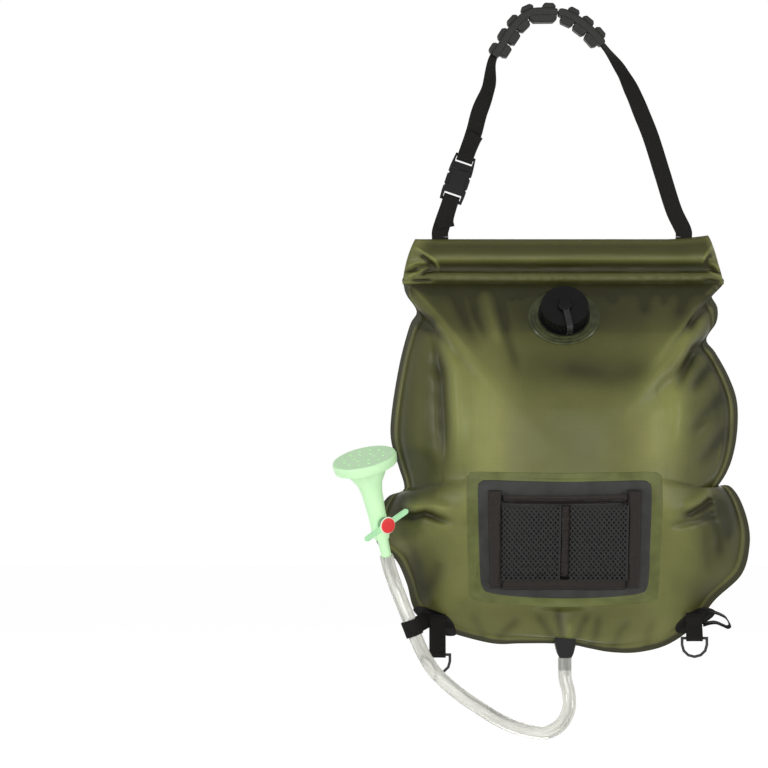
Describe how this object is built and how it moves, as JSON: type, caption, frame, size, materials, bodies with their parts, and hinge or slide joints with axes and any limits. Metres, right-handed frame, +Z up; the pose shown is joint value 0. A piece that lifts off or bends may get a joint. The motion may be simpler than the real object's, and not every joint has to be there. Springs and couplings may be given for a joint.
{
  "type": "camp shower bag",
  "caption": "Hanging water bag with a welded header, webbing handle, screw filler cap, mesh pockets, hose and a shower head with a quarter-turn valve.",
  "frame": {"origin": "hang point, on the flat underside of the grip's middle block", "axes": "+Z up, +X to the right seen from the front, the front faces -Y"},
  "size_m": [0.5077, 0.2077, 0.8885],
  "materials": {
    "olive_fabric": "coated woven fabric, satin",
    "black_webbing": "woven webbing, matte",
    "grip_rubber": "moulded rubber, matte",
    "black_plastic": "moulded plastic, satin",
    "pocket_backing": "rubbery coated fabric, satin",
    "pocket_binding": "woven tape and mesh, matte",
    "green_weld_disc": "translucent film, glossy",
    "mint_plastic": "moulded plastic, satin",
    "red_plastic": "moulded plastic, glossy",
    "clear_hose": "clear soft tube, glossy",
    "rod_plastic": "plastic rod, satin"
  },
  "bodies": {
    "handle": {"main_webbing": "black_webbing", "lower_webbing": "black_webbing", "grip_sleeve_left": "grip_rubber", "grip_sleeve_right": "grip_rubber", "buckle_female": "black_plastic", "buckle_male": "black_plastic"},
    "latch_left": {"latch_arm_left": "black_plastic"},
    "latch_right": {"latch_arm_right": "black_plastic"},
    "bag": {"front_panel": "olive_fabric", "back_panel": "olive_fabric", "header_sleeve": "olive_fabric", "header_rod": "rod_plastic", "strap_root_left": "black_webbing", "strap_root_right": "black_webbing", "filler_flange": "green_weld_disc", "filler_neck": "black_plastic", "tether_ring": "black_plastic", "pocket_panel": "pocket_backing", "pocket_binding_left": "pocket_binding", "pocket_binding_right": "pocket_binding", "pocket_hem_bottom": "pocket_binding", "pocket_hem_top": "pocket_binding", "pocket_divider": "pocket_binding", "pocket_net_left": "pocket_binding", "pocket_net_right": "pocket_binding", "outlet_flange": "green_weld_disc", "outlet_hood": "black_plastic", "outlet_barb": "black_plastic", "hose": "clear_hose", "head_body": "mint_plastic", "head_face": "mint_plastic", "valve_seal": "black_plastic", "patch_left": "black_plastic", "patch_right": "black_plastic", "ring_tab_left": "black_webbing", "ring_tab_right": "black_webbing", "hose_loop": "black_webbing", "spare_loop": "black_webbing"},
    "cap_carrier": {"cap_boss": "black_plastic", "cap_tether": "black_plastic"},
    "cap": {"filler_cap": "black_plastic", "cap_seal": "black_plastic"},
    "valve": {"valve_plug": "mint_plastic", "valve_button": "red_plastic"},
    "d_ring_left": {"d_ring_left": "black_plastic"},
    "d_ring_right": {"d_ring_right": "black_plastic"}
  },
  "joints": [
    {"name": "bag_swing", "type": "hinge", "parent": "handle", "child": "bag", "pos_m": [0.018, 0, -0.2568], "axis": [1, 0, 0], "range_deg": [-90, 90]},
    {"name": "latch_left_squeeze", "type": "hinge", "parent": "handle", "child": "latch_left", "pos_m": [-0.11367, 0, -0.17238], "axis": [0, -1, 0], "range_deg": [0, 6], "stiffness_Nm_per_rad": 0.2},
    {"name": "latch_right_squeeze", "type": "hinge", "parent": "handle", "child": "latch_right", "pos_m": [-0.09361, 0, -0.17924], "axis": [0, 1, 0], "range_deg": [0, 6], "stiffness_Nm_per_rad": 0.2},
    {"name": "cap_lift", "type": "slide", "parent": "bag", "child": "cap_carrier", "axis": [0.0003, -0.8454, 0.5341], "range_m": [0, 0.009]},
    {"name": "cap_turn", "type": "hinge", "parent": "cap_carrier", "child": "cap", "pos_m": [0.019, -0.03045, -0.353], "axis": [0.0003, -0.8454, 0.5341], "range_deg": [0, 1080]},
    {"name": "valve_lever", "type": "hinge", "parent": "bag", "child": "valve", "pos_m": [-0.203, -0.044, -0.6], "axis": [0.539, -0.8295, -0.1459], "range_deg": [0, 90]},
    {"name": "d_ring_left_swing", "type": "hinge", "parent": "bag", "child": "d_ring_left", "pos_m": [-0.132, 0.00592, -0.762], "axis": [1, 0, 0], "range_deg": [-35, 120]},
    {"name": "d_ring_right_swing", "type": "hinge", "parent": "bag", "child": "d_ring_right", "pos_m": [0.179, 0.00472, -0.742], "axis": [1, 0, 0], "range_deg": [-120, 100]}
  ],
  "couplings": [
    {"joint": "cap_turn", "follows": "cap_lift", "rad_per_m": 2094.4}
  ]
}
